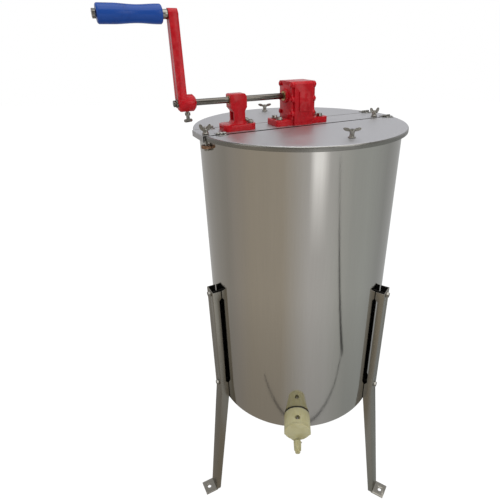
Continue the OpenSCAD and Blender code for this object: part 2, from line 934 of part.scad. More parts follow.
module crank_wing_screw() {
    color("lightgray")
        on_crank()
            translate([-crank_arm_s + 8, 0, -hub_r - 14]) {
                translate([0, 0, 6]) cylinder(h = 14 + hub_r - shaft_r - 6 - move_gap, r = 2.5);
                translate([0, 0, 8]) cylinder(h = 4.5, r = 4.4);
                rotate([0, 0, 20])
                    rotate([90, 0, 0])
                        translate([0, 0, -1.5])
                            linear_extrude(3) {
                                round_rect(15, 5, 2.4);
                                translate([0, 4.5]) square([5, 9], center = true);
                            }
            }
}

module grip_spindle() {
    color("silver")
        on_crank()
            translate([0, 0, crank_radius]) {
                bar_x(grip_left - move_gap, arm_left + arm_t + 1.5, spindle_r);
                translate([grip_left - move_gap - 5, 0, 0])
                    rotate([0, 90, 0]) hexagon(11, 5);
            }
}

module grip_collar() {
    color("silver")
        on_crank()
            translate([0, 0, crank_radius])
                difference() {
                    bar_x(arm_left - collar_len, arm_left, spindle_r + 2.5);
                    bar_x(arm_left - collar_len - 1, arm_left + 1, spindle_r);
                }
}

module grip() {
    r = grip_d / 2;
    color("royalblue")
        on_crank()
            translate([grip_left, 0, crank_radius])
                rotate([0, 90, 0])
                    rotate_extrude()
                        polygon([
                            [spindle_r + run_gap, 0], [r - 1.6, 0], [r, 1.6],
                            [r, 0.3 * grip_len], [r - 1, 0.42 * grip_len],
                            [r - 2, 0.55 * grip_len], [r - 2.2, 0.68 * grip_len],
                            [r - 1.4, 0.82 * grip_len], [r, grip_len - 4],
                            [r - 0.4, grip_len - 1], [r - 2, grip_len],
                            [spindle_r + run_gap, grip_len]
                        ]);
}

// --- Rotor ---------------------------------------------------------------

module rotor_shaft() {
    color("silver") {
        translate([0, 0, rotor_foot]) cylinder(h = rotor_step - rotor_foot, r = rotor_r);
        translate([0, 0, rotor_step - overlap]) cylinder(h = rotor_top - rotor_step, r = journal_r);
    }
}

module bevel_pinion() {
    wide_end = lid_z + crank_axis_h - gear_r;
    color("dimgray")
        rotate([0, 0, bridge_turn])
            difference() {
                union() {
                    translate([0, 0, wide_end])
                        bevel_teeth(pinion_teeth, pinion_r, gear_r, norm([gear_r, pinion_r]), 0);
                    translate([0, 0, rotor_step])
                        cylinder(h = wide_end - rotor_step + overlap, r = journal_r + 1.9);
                }
                translate([0, 0, rotor_step - 1]) cylinder(h = 60, r = journal_r);
            }
}

module basket_hubs() {
    color("silver")
        for (z = [basket_z + basket_t, basket_z + basket_h - basket_t - 18])
            translate([0, 0, z])
                difference() {
                    cylinder(h = 18, r = rotor_r + 8);
                    translate([0, 0, -1]) cylinder(h = 20, r = rotor_r);
                }
}

module basket_plate(pocket_x, pocket_in) {
    linear_extrude(basket_t)
        difference() {
            round_rect(basket_w, basket_depth, 10);
            for (side = [-1, 1]) {
                translate([-pocket_x, side > 0 ? pocket_y + pocket_in : -pocket_y - pocket_t + pocket_in])
                    square([2 * pocket_x, pocket_t - 2 * pocket_in]);
                translate([side * (basket_w / 4), 0])
                    round_rect(basket_w / 2 - 54, 2 * pocket_y - 24, 8);
            }
            circle(rotor_r);
        }
}

module basket_top() {
    color("silver")
        translate([0, 0, basket_z + basket_h - basket_t])
            basket_plate(post_x - post_r - 1, 0);
}

module basket_bottom() {
    color("silver") translate([0, 0, basket_z]) basket_plate(post_x - 24, 7);
}

module basket_posts() {
    color("silver")
        for (x = [-1, 1], y = [-post_y, -pocket_y + 4, pocket_y - 4, post_y])
            translate([x * post_x, y, basket_z + basket_t])
                cylinder(h = basket_h - 2 * basket_t, r = post_r);
}

// The welded grille that each comb leans on as the basket spins
module basket_grilles() {
    grille_h = basket_h - 2 * basket_t;
    across_n = 8;
    up_n = 14;
    bar = 3;
    grille_w = 2 * (post_x - post_r);
    cell_w = (grille_w - bar) / across_n;
    cell_h = (grille_h - bar) / up_n;
    color("silver")
        for (side = [-1, 1])
            translate([0, side * post_y + 1, basket_z + basket_t])
                rotate([90, 0, 0])
                    linear_extrude(2)
                        difference() {
                            translate([-grille_w / 2, 0]) square([grille_w, grille_h]);
                            for (i = [0 : across_n - 1], j = [0 : up_n - 1])
                                translate([-grille_w / 2 + bar + i * cell_w, bar + j * cell_h])
                                    square([cell_w - bar, cell_h - bar]);
                        }
}

module basket_rails() {
    color("silver")
        for (side = [-1, 1], level = [0.25, 0.5, 0.75])
            translate([-post_x + post_r, side * (pocket_y - 4) - 1,
                       basket_z + level * basket_h])
                cube([2 * (post_x - post_r), 2, 10]);
}

// --- Gate ----------------------------------------------------------------

module gate_body() {
    color("wheat")
        on_gate()
            difference() {
                union() {
                    translate([0, 0, gate_seat]) cylinder(h = gate_len, r = gate_r);
                    translate([0, 0, drum_r - nipple_depth])
                        cylinder(h = gate_seat + 5 - drum_r + nipple_depth, r = nipple_r);
                }
                translate([0, 0, drum_r - 20]) cylinder(h = 100, r = gate_bore_r);
                translate([0, gate_pin_y, gate_seat + 5])
                    cylinder(h = 100, r = gate_pin_r + run_gap);
                translate([0, gate_bore_r + 0.9, gate_seat + 24])
                    rotate([-90, 0, 0]) cylinder(h = 20, r = 5.5);
                translate([0, -gate_pin_y, gate_face - 18]) cylinder(h = 40, r = gate_pin_r);
            }
}

module gate_nut() {
    color("wheat")
        on_gate()
            translate([0, 0, drum_r - nipple_depth])
                difference() {
                    hexagon(2 * gate_nut_half, 8);
                    translate([0, 0, -1]) cylinder(h = 20, r = nipple_r);
                }
}

module gate_seal() {
    color("dimgray")
        difference() {
            on_gate()
                difference() {
                    translate([0, 0, drum_r - 6]) cylinder(h = gate_seat - drum_r + 6, r = gate_r - 1);
                    cylinder(h = 300, r = nipple_r + 0.3);
                }
            cylinder(h = 2 * drum_lift + drum_h, r = drum_r, $fn = 720);
        }
}

module gate_flap() {
    tip_y = gate_pin_y + 1;
    throat = gate_pin_r + move_gap;
    arm = 2 * gate_pin_y;
    color("wheat")
        on_gate()
            translate([0, 0, flap_z])
                difference() {
                    linear_extrude(flap_t)
                        difference() {
                            union() {
                                intersection() {
                                    circle(gate_r);
                                    polygon([
                                        [-40, 40], [40, 40], [gate_r, -2], [7, -tip_y],
                                        [-7, -tip_y], [-gate_r, -2]
                                    ]);
                                }
                                translate([0, -tip_y]) circle(7);
                            }
                            translate([0, -gate_pin_y]) circle(throat);
                            intersection() {
                                translate([0, gate_pin_y])
                                    difference() {
                                        circle(arm + throat);
                                        circle(arm - throat);
                                    }
                                translate([0, -60]) square([40, 60]);
                            }
                        }
                    translate([0, gate_pin_y, -1]) cylinder(h = flap_t - 0.6, r = gate_pin_r);
                }
}

module gate_pivot() {
    color("gray")
        on_gate() {
            translate([0, gate_pin_y, gate_seat + 21])
                cylinder(h = flap_face - gate_seat - 22.6, r = gate_pin_r);
            translate([0, gate_pin_y, gate_seat + 22]) cylinder(h = 4, r = 3.4);
        }
}

module gate_washer() {
    color("gray")
        on_gate()
            translate([0, -gate_pin_y, nut_z])
                difference() {
                    union() {
                        cylinder(h = washer_t, r = 6.5);
                        rotate(-30) translate([0, -2.5, 0]) cube([9.5, 5, washer_t]);
                    }
                    translate([0, 0, -1]) cylinder(h = 5, r = gate_pin_r + thread_gap);
                }
}

module gate_thumb_nut() {
    color("wheat")
        on_gate()
            translate([0, -gate_pin_y, nut_z + washer_t])
                difference() {
                    union() {
                        cylinder(h = 24, r1 = 7, r2 = 5);
                        for (i = [0 : 5])
                            rotate(i * 60)
                                translate([6, 0, 0]) cylinder(h = 20, r1 = 1.8, r2 = 0.8);
                    }
                    translate([0, 0, -1]) cylinder(h = 20, r = gate_pin_r + thread_gap);
                }
}

module gate_stud() {
    color("gray")
        on_gate()
            translate([0, -gate_pin_y, gate_face - 18])
                cylinder(h = nut_z - gate_face + 38, r = gate_pin_r);
}

// --- Output --------------------------------------------------------------

drum_shell();
drum_floor();
floor_bearing();
bearing_ball();
leg_left();
leg_right();
leg_rear();
leg_bolts();
leg_nuts();
bridge();
clamp_lug();
clamp_bracket();
clamp_bolts();
clamp_nut_left();
clamp_nut_right();
lid_front();
lid_rear();
bridge_hinge_leaves();
hinge_pins();
lid_front_leaves();
lid_rear_leaves();
lid_front_knob();
lid_rear_knob();
lid_front_stud();
lid_rear_stud();
gearbox_housing();
gearbox_cover();
gearbox_end_cover();
cover_screws();
pedestal();
bridge_bolts();
bridge_nuts();
shaft_bushes();
rotor_bush();
crank_shaft();
bevel_gear();
gear_pin();
shaft_ring();
crank_arm();
crank_wing_screw();
grip_spindle();
grip_collar();
grip();
rotor_shaft();
bevel_pinion();
basket_hubs();
basket_top();
basket_bottom();
basket_posts();
basket_grilles();
basket_rails();
gate_body();
gate_nut();
gate_seal();
gate_flap();
gate_pivot();
gate_stud();
gate_washer();
gate_thumb_nut();
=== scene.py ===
# %% [markdown]
# # A hand-cranked honey extractor
#
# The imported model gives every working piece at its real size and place. This lesson
# puts the visible surfaces on it: smooth sheet metal for the drum and lids, soft
# edges on the red castings, cast wing nuts, a moulded grip and a nylon gate, each
# with a finish made from shader nodes. Everything is in metres, +Z up, and the
# gate faces -Y.

# %% Load the working model
import json
import math

import bpy
from mathutils import Euler, Matrix, Vector


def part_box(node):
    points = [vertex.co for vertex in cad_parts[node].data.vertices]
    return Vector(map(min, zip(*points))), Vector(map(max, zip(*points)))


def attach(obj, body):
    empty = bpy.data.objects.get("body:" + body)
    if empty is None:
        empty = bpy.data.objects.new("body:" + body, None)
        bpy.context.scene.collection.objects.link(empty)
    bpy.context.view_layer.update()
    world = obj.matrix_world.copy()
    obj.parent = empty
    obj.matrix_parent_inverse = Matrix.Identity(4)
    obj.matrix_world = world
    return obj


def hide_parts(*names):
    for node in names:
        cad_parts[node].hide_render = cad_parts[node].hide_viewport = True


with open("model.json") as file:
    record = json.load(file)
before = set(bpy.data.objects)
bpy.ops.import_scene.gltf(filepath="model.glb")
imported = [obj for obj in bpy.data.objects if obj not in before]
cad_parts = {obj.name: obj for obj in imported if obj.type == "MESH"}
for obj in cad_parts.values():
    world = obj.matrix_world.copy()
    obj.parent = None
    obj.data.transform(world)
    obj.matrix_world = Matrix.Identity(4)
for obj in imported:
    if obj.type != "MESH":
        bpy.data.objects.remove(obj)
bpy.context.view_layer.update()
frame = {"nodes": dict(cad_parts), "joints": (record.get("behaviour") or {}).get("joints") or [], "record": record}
cad_nodes = frame["nodes"]

# %% [markdown]
# The camera stands a little higher than the lid and close to the machine, and looks
# down at it, so the drum narrows towards its foot. Its turn, tilt and roll are given
# in degrees. The small shift sets the machine right of the frame's middle.

# %% Camera
camera_data = bpy.data.cameras.new("camera")
camera_data.lens = 29.27
camera_data.sensor_width = 36
camera_data.shift_x = -0.0404
camera_data.shift_y = 0.0019
camera_data.clip_start = 0.01
camera = bpy.data.objects.new("camera", camera_data)
bpy.context.scene.collection.objects.link(camera)
camera_turn = math.radians(2.0)
camera_tilt = math.radians(90 - 27.406)
camera_roll = math.radians(-0.815)
camera.location = (-0.0300, -0.7812, 1.0332)
look = Euler((camera_tilt, 0, camera_turn)).to_matrix() @ Matrix.Rotation(camera_roll, 3, "Z")
camera.rotation_euler = look.to_euler()
bpy.context.scene.camera = camera
bpy.context.scene.view_settings.view_transform = "Standard"
print("camera at", [round(v, 3) for v in camera.location])

# %% [markdown]
# The measures that more than one piece needs are read from the model, so that a
# piece always lands on the part it belongs to.

# %% Measures from the model
LID_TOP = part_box("lid_front")[1].z
drum_low, drum_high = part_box("drum_shell")
DRUM_FOOT = drum_low.z
RIM_TOP = drum_high.z
DRUM_R = 0.185
WALL = 0.001
joints = {joint["name"]: joint for joint in frame["joints"]}
crank_axis = Vector(joints["crank_turn"]["axis"])
BRIDGE_TURN = math.atan2(crank_axis.y, crank_axis.x)
GRIP_HEIGHT = joints["grip_spin"]["pos_m"][2]
gate_low, gate_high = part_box("gate_body")
GATE_HEIGHT = (gate_low.z + gate_high.z) / 2
print("bridge turned", round(math.degrees(BRIDGE_TURN), 1), "degrees; lid at", round(LID_TOP, 3))

# %% [markdown]
# Five small helpers keep the modelling cells short. Everything is deselected before
# a primitive is added, because edit-mode operators act on all that is selected.

# %% Helpers for modelling
BRIDGE = Matrix.Rotation(BRIDGE_TURN, 4, "Z") @ Matrix.Translation((0, 0, LID_TOP))


def deselect():
    bpy.ops.object.select_all(action="DESELECT")


def activate(piece):
    deselect()
    piece.select_set(True)
    bpy.context.view_layer.objects.active = piece


def apply_modifier(piece, kind, **settings):
    activate(piece)
    modifier = piece.modifiers.new(kind.lower(), kind)
    for name, value in settings.items():
        setattr(modifier, name, value)
    bpy.ops.object.modifier_apply(modifier=modifier.name)


def settle(piece, matrix=None):
    """Puts the piece's place into its mesh, and leaves its object at the origin."""
    activate(piece)
    if matrix is not None:
        piece.matrix_world = matrix @ piece.matrix_world
    bpy.ops.object.transform_apply(location=True, rotation=True, scale=True)


def smooth(piece, degrees=30):
    activate(piece)
    bpy.ops.object.shade_smooth_by_angle(angle=math.radians(degrees))


# %% [markdown]
# A turned piece starts as a circle. Each further station of its outline extrudes
# the ring along the axis and resizes it, as on a lathe. When the outline comes back
# to its start, merging the two rings closes the wall.

# %% Turned pieces
def turned(name, stations, sides=64, closed=False):
    """A piece turned about Z from (height, radius) stations, in metres."""
    deselect()
    height, radius = stations[0]
    fill = "NOTHING" if closed else "NGON"
    bpy.ops.mesh.primitive_circle_add(vertices=sides, radius=radius, fill_type=fill,
                                      location=(0, 0, 0))
    piece = bpy.context.object
    piece.name = name
    bpy.ops.object.mode_set(mode="EDIT")
    bpy.ops.mesh.select_all(action="SELECT")
    bpy.ops.transform.translate(value=(0, 0, height))
    for next_height, next_radius in stations[1:]:
        bpy.ops.mesh.extrude_region_move(
            TRANSFORM_OT_translate={"value": (0, 0, next_height - height)})
        share = next_radius / radius
        bpy.ops.transform.resize(value=(share, share, 1), center_override=(0, 0, next_height))
        height, radius = next_height, next_radius
    bpy.ops.mesh.select_all(action="SELECT")
    bpy.ops.mesh.remove_doubles(threshold=1e-6)
    bpy.ops.mesh.normals_make_consistent(inside=False)
    bpy.ops.object.mode_set(mode="OBJECT")
    return piece


# %% [markdown]
# A casting's edges are never sharp. The quickest way to soft edges that still sit
# exactly on the working part is to copy its mesh, merge its loose triangles, melt
# the flat ones together and bevel what is left.

# %% Soft-edged copies
MM = 0.001
WELD = 2e-6
SHARP_EDGE = math.radians(32)


def soft_copy(node, name, width):
    """A copy of a CAD node, its triangles merged and its edges bevelled by width in mm."""
    source = cad_nodes[node]
    piece = bpy.data.objects.new(name, source.data.copy())
    bpy.context.scene.collection.objects.link(piece)
    piece.data.materials.clear()
    activate(piece)
    bpy.ops.object.mode_set(mode="EDIT")
    bpy.ops.mesh.select_all(action="SELECT")
    bpy.ops.mesh.remove_doubles(threshold=WELD)
    bpy.ops.mesh.dissolve_limited(angle_limit=math.radians(0.5))
    bpy.ops.object.mode_set(mode="OBJECT")
    apply_modifier(piece, "BEVEL", width=width * MM, segments=2, limit_method="ANGLE",
                   angle_limit=SHARP_EDGE, miter_outer="MITER_ARC", use_clamp_overlap=True)
    smooth(piece, 35)
    return piece


def stand_in(piece, node, body, material):
    """Hands a finished piece to the frame in place of a CAD node."""
    piece.data.materials.clear()
    piece.data.materials.append(material)
    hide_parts(node)
    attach(piece, body)
    print(piece.name, len(piece.data.polygons), "faces")


# %% [markdown]
# ## Finishes
#
# Four effects come back in many finishes, so each is a node group: the grain that
# rolling and brushing leave in sheet, the faint smudges of hands and wiping cloths,
# the soft unevenness of a cast or moulded skin, and the wear on an edge. The helpers
# below add a node, fill in its inputs and link it in one line.

# %% Node helpers
def socket(group, name, direction, kind, value=None):
    made = group.interface.new_socket(name=name, in_out=direction, socket_type=kind)
    if value is not None:
        made.default_value = value


def new_group(name):
    group = bpy.data.node_groups.new(name, "ShaderNodeTree")
    return group, group.nodes.new("NodeGroupInput"), group.nodes.new("NodeGroupOutput")


def put(tree, kind, inputs=None, **settings):
    """Adds a node, sets its properties, then its input values or links."""
    made = tree.nodes.new(kind)
    for name, value in settings.items():
        setattr(made, name, value)
    for key, value in (inputs or {}).items():
        if isinstance(value, bpy.types.NodeSocket):
            tree.links.new(value, made.inputs[key])
        else:
            made.inputs[key].default_value = value
    return made


def maths(tree, operation, a, b=0.0):
    return put(tree, "ShaderNodeMath", {0: a, 1: b}, operation=operation).outputs[0]


def spread(tree, value, low, high, to_low, to_high):
    return put(tree, "ShaderNodeMapRange",
               {"Value": value, "From Min": low, "From Max": high,
                "To Min": to_low, "To Max": to_high}).outputs[0]


def blend_colours(tree, share, first, second):
    made = put(tree, "ShaderNodeMix", data_type="RGBA")
    for key, value in ((0, share), (6, first), (7, second)):
        if isinstance(value, bpy.types.NodeSocket):
            tree.links.new(value, made.inputs[key])
        else:
            made.inputs[key].default_value = value
    return made.outputs[2]


# %% [markdown]
# Rolled sheet has a fine grain with broader bands in it. Two noises, one about eight times
# coarser than the other, are added. The stretch that turns them into lines comes from
# each finish.

# %% Group: rolled grain
COARSER = 0.12
grain_group, grain_in, grain_out = new_group("rolled_grain")
socket(grain_group, "Vector", "INPUT", "NodeSocketVector")
socket(grain_group, "Fineness", "INPUT", "NodeSocketFloat", 900.0)
socket(grain_group, "Grain", "OUTPUT", "NodeSocketFloat")
grain_fine = put(grain_group, "ShaderNodeTexNoise",
                 {"Vector": grain_in.outputs["Vector"], "Scale": grain_in.outputs["Fineness"],
                  "Detail": 3.0, "Roughness": 0.6})
grain_broad = put(grain_group, "ShaderNodeTexNoise",
                  {"Vector": grain_in.outputs["Vector"],
                   "Scale": maths(grain_group, "MULTIPLY", grain_in.outputs["Fineness"], COARSER),
                   "Detail": 2.0, "Roughness": 0.5})
grain_sum = maths(grain_group, "ADD",
                  maths(grain_group, "MULTIPLY", grain_fine.outputs["Fac"], 0.6),
                  maths(grain_group, "MULTIPLY", grain_broad.outputs["Fac"], 0.4))
grain_group.links.new(grain_sum, grain_out.inputs["Grain"])
print("rolled grain:", len(grain_group.nodes), "nodes")

# %% [markdown]
# Smudges lie in patches, with clean metal between them. A distorted noise gives the
# patches, and a steep map range leaves the rest clean.

# %% Group: smudges
smudge_group, smudge_in, smudge_out = new_group("smudges")
socket(smudge_group, "Vector", "INPUT", "NodeSocketVector")
socket(smudge_group, "Size", "INPUT", "NodeSocketFloat", 9.0)
socket(smudge_group, "Amount", "OUTPUT", "NodeSocketFloat")
smudge_patch = put(smudge_group, "ShaderNodeTexNoise",
                   {"Vector": smudge_in.outputs["Vector"], "Scale": smudge_in.outputs["Size"],
                    "Detail": 4.0, "Roughness": 0.55, "Distortion": 0.6})
smudge_level = spread(smudge_group, smudge_patch.outputs["Fac"], 0.48, 0.72, 0.0, 1.0)
smudge_group.links.new(smudge_level, smudge_out.inputs["Amount"])
print("smudges:", len(smudge_group.nodes), "nodes")

# %% [markdown]
# A cast or moulded skin has small lumps on long, low waves. Its height goes into a
# bump node, so it costs no geometry.

# %% Group: cast skin
WAVES = 0.22
skin_group, skin_in, skin_out = new_group("cast_skin")
socket(skin_group, "Vector", "INPUT", "NodeSocketVector")
socket(skin_group, "Size", "INPUT", "NodeSocketFloat", 260.0)
socket(skin_group, "Height", "OUTPUT", "NodeSocketFloat")
skin_lumps = put(skin_group, "ShaderNodeTexNoise",
                 {"Vector": skin_in.outputs["Vector"], "Scale": skin_in.outputs["Size"],
                  "Detail": 2.0, "Roughness": 0.45})
skin_waves = put(skin_group, "ShaderNodeTexNoise",
                 {"Vector": skin_in.outputs["Vector"],
                  "Scale": maths(skin_group, "MULTIPLY", skin_in.outputs["Size"], WAVES),
                  "Detail": 1.0})
skin_sum = maths(skin_group, "ADD",
                 maths(skin_group, "MULTIPLY", skin_lumps.outputs["Fac"], 0.45),
                 maths(skin_group, "MULTIPLY", skin_waves.outputs["Fac"], 0.55))
skin_group.links.new(skin_sum, skin_out.inputs["Height"])
print("cast skin:", len(skin_group.nodes), "nodes")

# %% [markdown]
# Paint goes first on outward corners. Pointiness finds them, and a noise breaks the
# wear up, so that it doesn't follow every edge as a line.

# %% Group: worn edges
edge_group, edge_in, edge_out = new_group("worn_edges")
socket(edge_group, "Vector", "INPUT", "NodeSocketVector")
socket(edge_group, "Breakup", "INPUT", "NodeSocketFloat", 120.0)
socket(edge_group, "Wear", "OUTPUT", "NodeSocketFloat")
edge_shape = put(edge_group, "ShaderNodeNewGeometry")
edge_noise = put(edge_group, "ShaderNodeTexNoise",
                 {"Vector": edge_in.outputs["Vector"], "Scale": edge_in.outputs["Breakup"],
                  "Detail": 3.0})
edge_high = spread(edge_group, edge_shape.outputs["Pointiness"], 0.52, 0.60, 0.0, 1.0)
edge_gap = spread(edge_group, edge_noise.outputs["Fac"], 0.45, 0.62, 0.0, 1.0)
edge_wear = maths(edge_group, "MULTIPLY", edge_high, edge_gap)
edge_group.links.new(edge_wear, edge_out.inputs["Wear"])
print("worn edges:", len(edge_group.nodes), "nodes")


# %% [markdown]
# Every finish starts in the same way: a material with its main shader and the object
# coordinates, to which groups and a bump node are then added.

# %% A material's frame
def new_material(name):
    material = bpy.data.materials.new(name)
    material.use_nodes = True
    tree = material.node_tree
    shader = tree.nodes["Principled BSDF"]
    place = tree.nodes.new("ShaderNodeTexCoord").outputs["Object"]
    return material, tree, shader, place


def use_group(tree, group, **inputs):
    made = tree.nodes.new("ShaderNodeGroup")
    made.node_tree = group
    for name, value in inputs.items():
        if isinstance(value, bpy.types.NodeSocket):
            tree.links.new(value, made.inputs[name])
        else:
            made.inputs[name].default_value = value
    return made.outputs[0]


def bump(tree, shader, height, strength, distance):
    made = put(tree, "ShaderNodeBump", {"Strength": strength, "Distance": distance,
                                        "Height": height})
    tree.links.new(made.outputs["Normal"], shader.inputs["Normal"])


# %% [markdown]
# Stainless sheet is a metal shader whose roughness follows the grain. On the drum the
# grain runs up the wall, so its coordinates are unrolled from the axis into the arc
# length and the height. Elsewhere the stretch of the object's own axes gives it its
# direction.

# %% Steel finishes
def round_the_axis(tree, place):
    """(arc length, 0, height) of a point about the Z axis."""
    parts = put(tree, "ShaderNodeSeparateXYZ", {0: place})
    angle = maths(tree, "ARCTAN2", parts.outputs["Y"], parts.outputs["X"])
    arc = maths(tree, "MULTIPLY", angle, DRUM_R)
    return put(tree, "ShaderNodeCombineXYZ", {0: arc, 2: parts.outputs["Z"]}).outputs[0]


def steel(name, light, dark, roughness, stretch, fineness, wrapped=False, smudge=0.06,
          lumps=0.0):
    material, tree, shader, place = new_material(name)
    path = round_the_axis(tree, place) if wrapped else place
    lined = put(tree, "ShaderNodeMapping", {"Vector": path, "Scale": stretch}).outputs[0]
    grain = use_group(tree, grain_group, Vector=lined, Fineness=fineness)
    patches = use_group(tree, smudge_group, Vector=place)
    colour = blend_colours(tree, grain, (*dark, 1), (*light, 1))
    tree.links.new(colour, shader.inputs["Base Color"])
    rough = maths(tree, "ADD", spread(tree, grain, 0.3, 0.7, roughness * 0.8, roughness * 1.25),
                  maths(tree, "MULTIPLY", patches, smudge))
    tree.links.new(rough, shader.inputs["Roughness"])
    shader.inputs["Metallic"].default_value = 1.0
    height = grain
    if lumps:
        skin = use_group(tree, skin_group, Vector=place, Size=60.0)
        height = maths(tree, "ADD", grain, maths(tree, "MULTIPLY", skin, lumps))
    bump(tree, shader, height, 0.05, 0.0004)
    return material


drum_steel = steel("drum_steel", (0.60, 0.585, 0.555), (0.52, 0.505, 0.475), 0.085,
                   (1, 1, 0.03), 420.0, wrapped=True, smudge=0.05)
lid_steel = steel("lid_steel", (0.665, 0.665, 0.675), (0.57, 0.57, 0.58), 0.42,
                  (1, 10, 1), 700.0, smudge=0.08)
# A darker copy of the lid steel, painted shade: it goes on the lid's rolled rim and skirt and on the hinge leaves.
rim_steel = steel("rim_steel", (0.34, 0.335, 0.315), (0.28, 0.275, 0.255), 0.26,
                  (1, 1, 6), 500.0, smudge=0.08)
leg_steel = steel("leg_steel", (0.42, 0.40, 0.355), (0.29, 0.275, 0.235), 0.24,
                  (8, 8, 1), 700.0, smudge=0.12)
# Near-black steel, painted shade: it goes on the slit at the lid's seam, the inside of the legs and the bolt
# shanks there.
scale_steel = steel("scale_steel", (0.050, 0.048, 0.044), (0.016, 0.015, 0.014), 0.55,
                    (3, 3, 1), 300.0, smudge=0.20, lumps=0.4)
fastener_steel = steel("fastener_steel", (0.40, 0.385, 0.35), (0.24, 0.23, 0.205), 0.24,
                       (1, 1, 1), 900.0, smudge=0.15)
shaft_steel = steel("shaft_steel", (0.17, 0.155, 0.135), (0.14, 0.13, 0.115), 0.17,
                    (1, 1, 1), 900.0, smudge=0.04)
tinted_steel = steel("tinted_steel", (0.46, 0.30, 0.20), (0.20, 0.10, 0.06), 0.26,
                     (1, 1, 1), 160.0, smudge=0.15)
basket_steel = steel("basket_steel", (0.66, 0.66, 0.65), (0.52, 0.52, 0.51), 0.30,
                     (1, 1, 8), 800.0, smudge=0.08)
gear_iron = steel("gear_iron", (0.34, 0.33, 0.31), (0.20, 0.19, 0.18), 0.42,
                  (1, 1, 1), 500.0, lumps=0.5)
bush_bronze = steel("bush_bronze", (0.66, 0.47, 0.23), (0.50, 0.34, 0.16), 0.34,
                    (1, 1, 1), 900.0, lumps=0.3)
print("nine steels, an iron and a bronze")

# %% [markdown]
# The castings wear a thick gloss enamel. It fills the sand-cast skin without hiding
# it, pools a little darker in hollows and shows primer where an edge is rubbed.

# %% Red enamel
def enamel(name, bright, deep, primer):
    material, tree, shader, place = new_material(name)
    skin = use_group(tree, skin_group, Vector=place, Size=330.0)
    wear = use_group(tree, edge_group, Vector=place, Breakup=160.0)
    patches = use_group(tree, smudge_group, Vector=place, Size=40.0)
    paint = blend_colours(tree, spread(tree, skin, 0.35, 0.65, 0.0, 1.0), (*deep, 1), (*bright, 1))
    rubbed = blend_colours(tree, maths(tree, "MULTIPLY", wear, 0.25), paint, (*primer, 1))
    tree.links.new(rubbed, shader.inputs["Base Color"])
    rough = maths(tree, "ADD", maths(tree, "MULTIPLY", patches, 0.10), 0.20)
    tree.links.new(rough, shader.inputs["Roughness"])
    shader.inputs["Specular IOR Level"].default_value = 0.20
    shader.inputs["Coat Weight"].default_value = 0.04
    shader.inputs["Coat Roughness"].default_value = 0.10
    bump(tree, shader, skin, 0.18, 0.0012)
    return material


red_enamel = enamel("red_enamel", (0.50, 0.006, 0.013), (0.38, 0.004, 0.009), (0.60, 0.10, 0.10))
print(red_enamel.name, len(red_enamel.node_tree.nodes), "nodes")

# %% [markdown]
# Both plastics are moulded: a faintly wavy skin, gloss on the blue grip and a satin,
# slightly waxy look on the nylon gate, where old honey has left it a little yellower
# in patches. The gate's rubber seal is made in the same way, only rougher.

# %% Plastics and rubber
def plastic(name, bright, deep, roughness, size, strength, patch_size, scatter=0.0):
    material, tree, shader, place = new_material(name)
    skin = use_group(tree, skin_group, Vector=place, Size=size)
    patches = use_group(tree, smudge_group, Vector=place, Size=patch_size)
    colour = blend_colours(tree, patches, (*bright, 1), (*deep, 1))
    tree.links.new(colour, shader.inputs["Base Color"])
    rough = maths(tree, "ADD", maths(tree, "MULTIPLY", patches, 0.08), roughness)
    tree.links.new(rough, shader.inputs["Roughness"])
    shader.inputs["Specular IOR Level"].default_value = 0.35
    shader.inputs["Subsurface Weight"].default_value = scatter
    shader.inputs["Subsurface Radius"].default_value = (0.006, 0.005, 0.003)
    shader.inputs["Subsurface Scale"].default_value = 0.5
    bump(tree, shader, skin, strength, 0.0008)
    return material


blue_plastic = plastic("blue_plastic", (0.004, 0.055, 0.29), (0.003, 0.038, 0.21), 0.24,
                       150.0, 0.12, 30.0)
cream_plastic = plastic("cream_plastic", (0.47, 0.44, 0.255), (0.38, 0.34, 0.165), 0.36,
                        200.0, 0.12, 45.0, scatter=0.25)
seal_rubber = plastic("seal_rubber", (0.05, 0.05, 0.05), (0.03, 0.03, 0.03), 0.7,
                      400.0, 0.15, 60.0)
print("plastics:", blue_plastic.name, cream_plastic.name, seal_rubber.name)

# %% [markdown]
# Each working part names the slot that its finish belongs to. The parts that nobody
# sees from outside get their finish here and keep their plain mesh.

# %% Finishes on the working parts
slot_materials = {
    "drum_steel": drum_steel, "lid_steel": lid_steel, "leg_steel": leg_steel,
    "fastener_steel": fastener_steel, "shaft_steel": shaft_steel, "red_paint": red_enamel,
    "gear_iron": gear_iron, "bush_bronze": bush_bronze, "basket_steel": basket_steel,
    "blue_plastic": blue_plastic, "cream_plastic": cream_plastic, "seal_rubber": seal_rubber,
}
for part in frame["record"]["subparts"]:
    mesh = cad_nodes[part["node"]].data
    mesh.materials.clear()
    mesh.materials.append(slot_materials[part["material_slot"]])
    smooth(cad_nodes[part["node"]], 30)
print("finishes on", len(cad_nodes), "working parts")

# %% [markdown]
# ## The drum
#
# The wall is the largest mirror in the scene, so it is turned with many sides. Its
# outline goes up the outside, over the rolled bead and down the inside, and a
# boolean cuts the hole for the gate's tail.

# %% Drum wall
BEAD_R = 0.0022
BEAD_START = -0.42
BEAD_SWEEP = 1.62
TAIL_HOLE_R = 0.0203
FOOT_BAND = 0.012


def bead_stations(steps):
    """The rolled rim, from just under its outside round to its inside."""
    middle = RIM_TOP - BEAD_R
    for step in range(steps + 1):
        angle = math.pi * (BEAD_START + BEAD_SWEEP * step / steps)
        yield (middle + BEAD_R * math.sin(angle), DRUM_R - WALL / 2 + BEAD_R * math.cos(angle))


